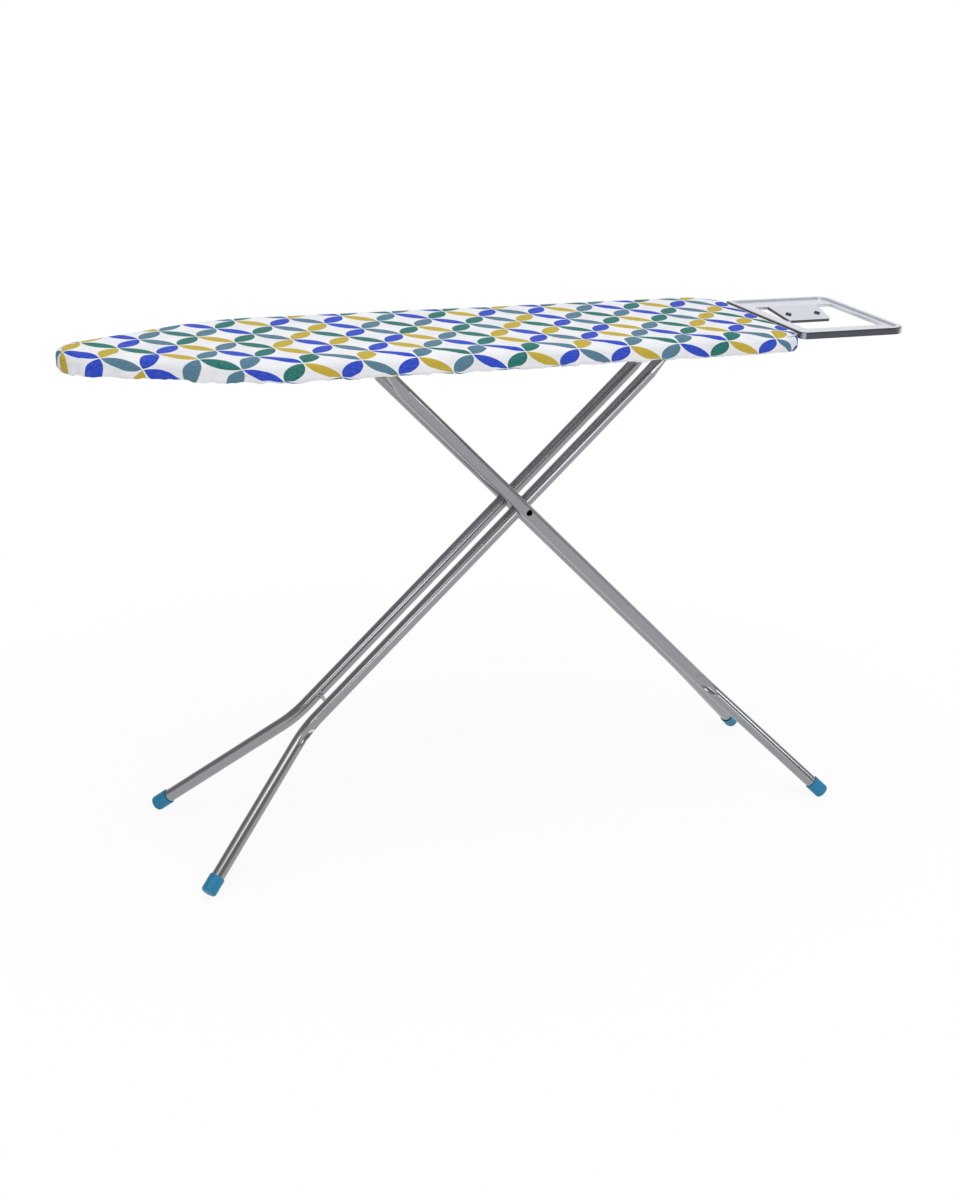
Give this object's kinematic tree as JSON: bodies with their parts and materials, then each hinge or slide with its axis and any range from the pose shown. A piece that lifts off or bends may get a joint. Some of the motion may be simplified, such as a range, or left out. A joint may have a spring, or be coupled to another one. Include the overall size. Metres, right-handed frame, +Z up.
{
  "type": "ironing board",
  "caption": "Folding ironing board with a padded printed cover, crossed tube legs that scissor flat, a height latch and a pressed sheet-metal iron rest at the square end.",
  "frame": {"origin": "on the floor, under the middle of the whole length from nose to iron rest", "axes": "+X from the nose to the iron rest, +Z up, -Y the side that the user stands on in the picture"},
  "size_m": [1.4099, 0.3474, 0.857],
  "materials": {
    "cover_cloth": "printed cotton",
    "pad_foam": "foam",
    "deck_paint": "satin lacquer",
    "leg_paint": "satin silver lacquer",
    "rest_metal": "glossy silver lacquer",
    "rest_rubber": "matt",
    "plated_steel": "zinc plated",
    "spring_steel": "blued",
    "blue_plastic": "moulded",
    "grey_plastic": "moulded"
  },
  "bodies": {
    "board": {"cotton_cover": "cover_cloth", "foam_pad": "pad_foam", "deck_sheet": "deck_paint", "deck_rim": "deck_paint", "rib_tail": "deck_paint", "rib_hinge": "deck_paint", "rib_rear": "deck_paint", "rib_nose": "deck_paint", "clip_rivets": "plated_steel", "rail_rivets": "plated_steel", "hinge_clip_front": "deck_paint", "hinge_clip_back": "deck_paint", "slide_rail_front": "deck_paint", "slide_rail_back": "deck_paint", "latch_ears": "deck_paint", "latch_spring": "spring_steel", "iron_rest": "rest_metal", "rest_pads": "rest_rubber", "rest_rod_front": "plated_steel", "rest_rod_back": "plated_steel"},
    "inner_leg": {"inner_tube_front": "leg_paint", "inner_tube_back": "leg_paint", "inner_foot_cap_front": "blue_plastic", "inner_foot_cap_back": "blue_plastic", "inner_spacer_pin": "plated_steel", "hinge_rod": "plated_steel", "hinge_rod_caps": "grey_plastic", "pivot_rivet": "plated_steel", "pivot_sleeve": "plated_steel", "pivot_washers": "grey_plastic"},
    "outer_leg": {"outer_tube_front": "leg_paint", "outer_tube_back": "leg_paint", "outer_foot_cap_front": "blue_plastic", "outer_foot_cap_back": "blue_plastic", "outer_spacer_pin": "plated_steel", "slide_rod": "plated_steel", "slide_glide_front": "grey_plastic", "slide_glide_back": "grey_plastic"},
    "latch": {"latch_comb": "deck_paint", "latch_shaft": "plated_steel", "latch_handle": "deck_paint", "latch_grip": "blue_plastic"}
  },
  "joints": [
    {"name": "leg_fold", "type": "hinge", "parent": "board", "child": "inner_leg", "pos_m": [0.3222, 0, 0.8314], "axis": [0, 1, 0], "range_deg": [0, 42.4]},
    {"name": "leg_cross", "type": "hinge", "parent": "inner_leg", "child": "outer_leg", "pos_m": [0.04773, 0, 0.55797], "axis": [0, 1, 0], "range_deg": [-84.8, 0]},
    {"name": "latch_turn", "type": "hinge", "parent": "board", "child": "latch", "pos_m": [-0.16253, 0, 0.8409], "axis": [0, 1, 0], "range_deg": [0, 7.2], "stiffness_Nm_per_rad": 2.5, "springref_deg": 7.2}
  ],
  "couplings": [
    {"joint": "leg_cross", "follows": "leg_fold", "ratio": -2}
  ]
}
